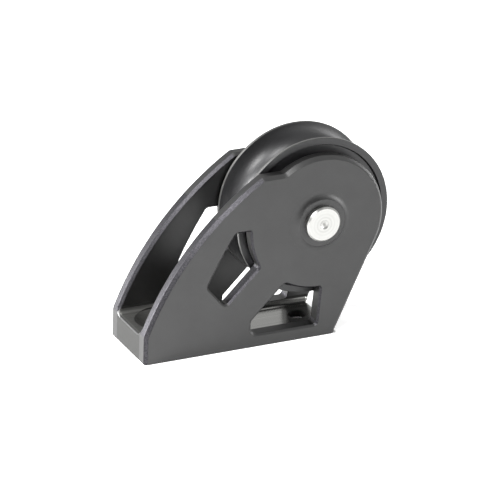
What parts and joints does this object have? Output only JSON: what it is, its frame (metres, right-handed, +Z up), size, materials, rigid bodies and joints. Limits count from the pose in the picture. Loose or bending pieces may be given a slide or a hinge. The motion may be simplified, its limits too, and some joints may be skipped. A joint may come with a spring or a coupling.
{
  "type": "halyard block",
  "caption": "Deck-mounted halyard block: a wide grooved sheave on a roller bearing and steel pin between the windowed cheeks of a one-piece black anodised body.",
  "frame": {"origin": "on the flat base face, straight under the axle and midway between the cheeks", "axes": "+X towards the rear, away from the rope mouth; +Y along the axle; +Z up from the base"},
  "size_m": [0.1181, 0.043, 0.0903],
  "materials": {
    "black_anodised": "bead-blasted and black anodised, satin",
    "polished_steel": "turned and polished stainless steel",
    "sheave_composite": "satin moulded glass-filled composite",
    "bearing_steel": "ground stainless steel",
    "washer_plastic": "plain acetal"
  },
  "bodies": {
    "block": {"block_body": "black_anodised", "axle_pin": "polished_steel", "bearing_sleeve": "bearing_steel", "near_thrust_washer": "washer_plastic", "far_thrust_washer": "washer_plastic"},
    "sheave": {"sheave": "sheave_composite", "sheave_liner": "bearing_steel"},
    "cage": {"roller_cage": "washer_plastic"},
    "roller_01": {"roller_01": "bearing_steel"},
    "roller_02": {"roller_02": "bearing_steel"},
    "roller_03": {"roller_03": "bearing_steel"},
    "roller_04": {"roller_04": "bearing_steel"},
    "roller_05": {"roller_05": "bearing_steel"},
    "roller_06": {"roller_06": "bearing_steel"},
    "roller_07": {"roller_07": "bearing_steel"},
    "roller_08": {"roller_08": "bearing_steel"},
    "roller_09": {"roller_09": "bearing_steel"},
    "roller_10": {"roller_10": "bearing_steel"},
    "roller_11": {"roller_11": "bearing_steel"},
    "roller_12": {"roller_12": "bearing_steel"}
  },
  "joints": [
    {"name": "sheave_spin", "type": "hinge", "parent": "block", "child": "sheave", "pos_m": [0, 0, 0.0543], "axis": [0, 1, 0], "continuous": true},
    {"name": "cage_spin", "type": "hinge", "parent": "block", "child": "cage", "pos_m": [0, 0, 0.0543], "axis": [0, 1, 0], "continuous": true},
    {"name": "roller_01_spin", "type": "hinge", "parent": "cage", "child": "roller_01", "pos_m": [0, 0, 0.06685], "axis": [0, 1, 0], "continuous": true},
    {"name": "roller_02_spin", "type": "hinge", "parent": "cage", "child": "roller_02", "pos_m": [0.00628, 0, 0.06517], "axis": [0, 1, 0], "continuous": true},
    {"name": "roller_03_spin", "type": "hinge", "parent": "cage", "child": "roller_03", "pos_m": [0.01087, 0, 0.06057], "axis": [0, 1, 0], "continuous": true},
    {"name": "roller_04_spin", "type": "hinge", "parent": "cage", "child": "roller_04", "pos_m": [0.01255, 0, 0.0543], "axis": [0, 1, 0], "continuous": true},
    {"name": "roller_05_spin", "type": "hinge", "parent": "cage", "child": "roller_05", "pos_m": [0.01087, 0, 0.04802], "axis": [0, 1, 0], "continuous": true},
    {"name": "roller_06_spin", "type": "hinge", "parent": "cage", "child": "roller_06", "pos_m": [0.00628, 0, 0.04343], "axis": [0, 1, 0], "continuous": true},
    {"name": "roller_07_spin", "type": "hinge", "parent": "cage", "child": "roller_07", "pos_m": [0, 0, 0.04175], "axis": [0, 1, 0], "continuous": true},
    {"name": "roller_08_spin", "type": "hinge", "parent": "cage", "child": "roller_08", "pos_m": [-0.00628, 0, 0.04343], "axis": [0, 1, 0], "continuous": true},
    {"name": "roller_09_spin", "type": "hinge", "parent": "cage", "child": "roller_09", "pos_m": [-0.01087, 0, 0.04802], "axis": [0, 1, 0], "continuous": true},
    {"name": "roller_10_spin", "type": "hinge", "parent": "cage", "child": "roller_10", "pos_m": [-0.01255, 0, 0.0543], "axis": [0, 1, 0], "continuous": true},
    {"name": "roller_11_spin", "type": "hinge", "parent": "cage", "child": "roller_11", "pos_m": [-0.01087, 0, 0.06057], "axis": [0, 1, 0], "continuous": true},
    {"name": "roller_12_spin", "type": "hinge", "parent": "cage", "child": "roller_12", "pos_m": [-0.00628, 0, 0.06517], "axis": [0, 1, 0], "continuous": true}
  ],
  "couplings": [
    {"joint": "cage_spin", "follows": "sheave_spin", "ratio": 0.5996},
    {"joint": "roller_01_spin", "follows": "sheave_spin", "ratio": 2.4104},
    {"joint": "roller_02_spin", "follows": "sheave_spin", "ratio": 2.4104},
    {"joint": "roller_03_spin", "follows": "sheave_spin", "ratio": 2.4104},
    {"joint": "roller_04_spin", "follows": "sheave_spin", "ratio": 2.4104},
    {"joint": "roller_05_spin", "follows": "sheave_spin", "ratio": 2.4104},
    {"joint": "roller_06_spin", "follows": "sheave_spin", "ratio": 2.4104},
    {"joint": "roller_07_spin", "follows": "sheave_spin", "ratio": 2.4104},
    {"joint": "roller_08_spin", "follows": "sheave_spin", "ratio": 2.4104},
    {"joint": "roller_09_spin", "follows": "sheave_spin", "ratio": 2.4104},
    {"joint": "roller_10_spin", "follows": "sheave_spin", "ratio": 2.4104},
    {"joint": "roller_11_spin", "follows": "sheave_spin", "ratio": 2.4104},
    {"joint": "roller_12_spin", "follows": "sheave_spin", "ratio": 2.4104}
  ]
}
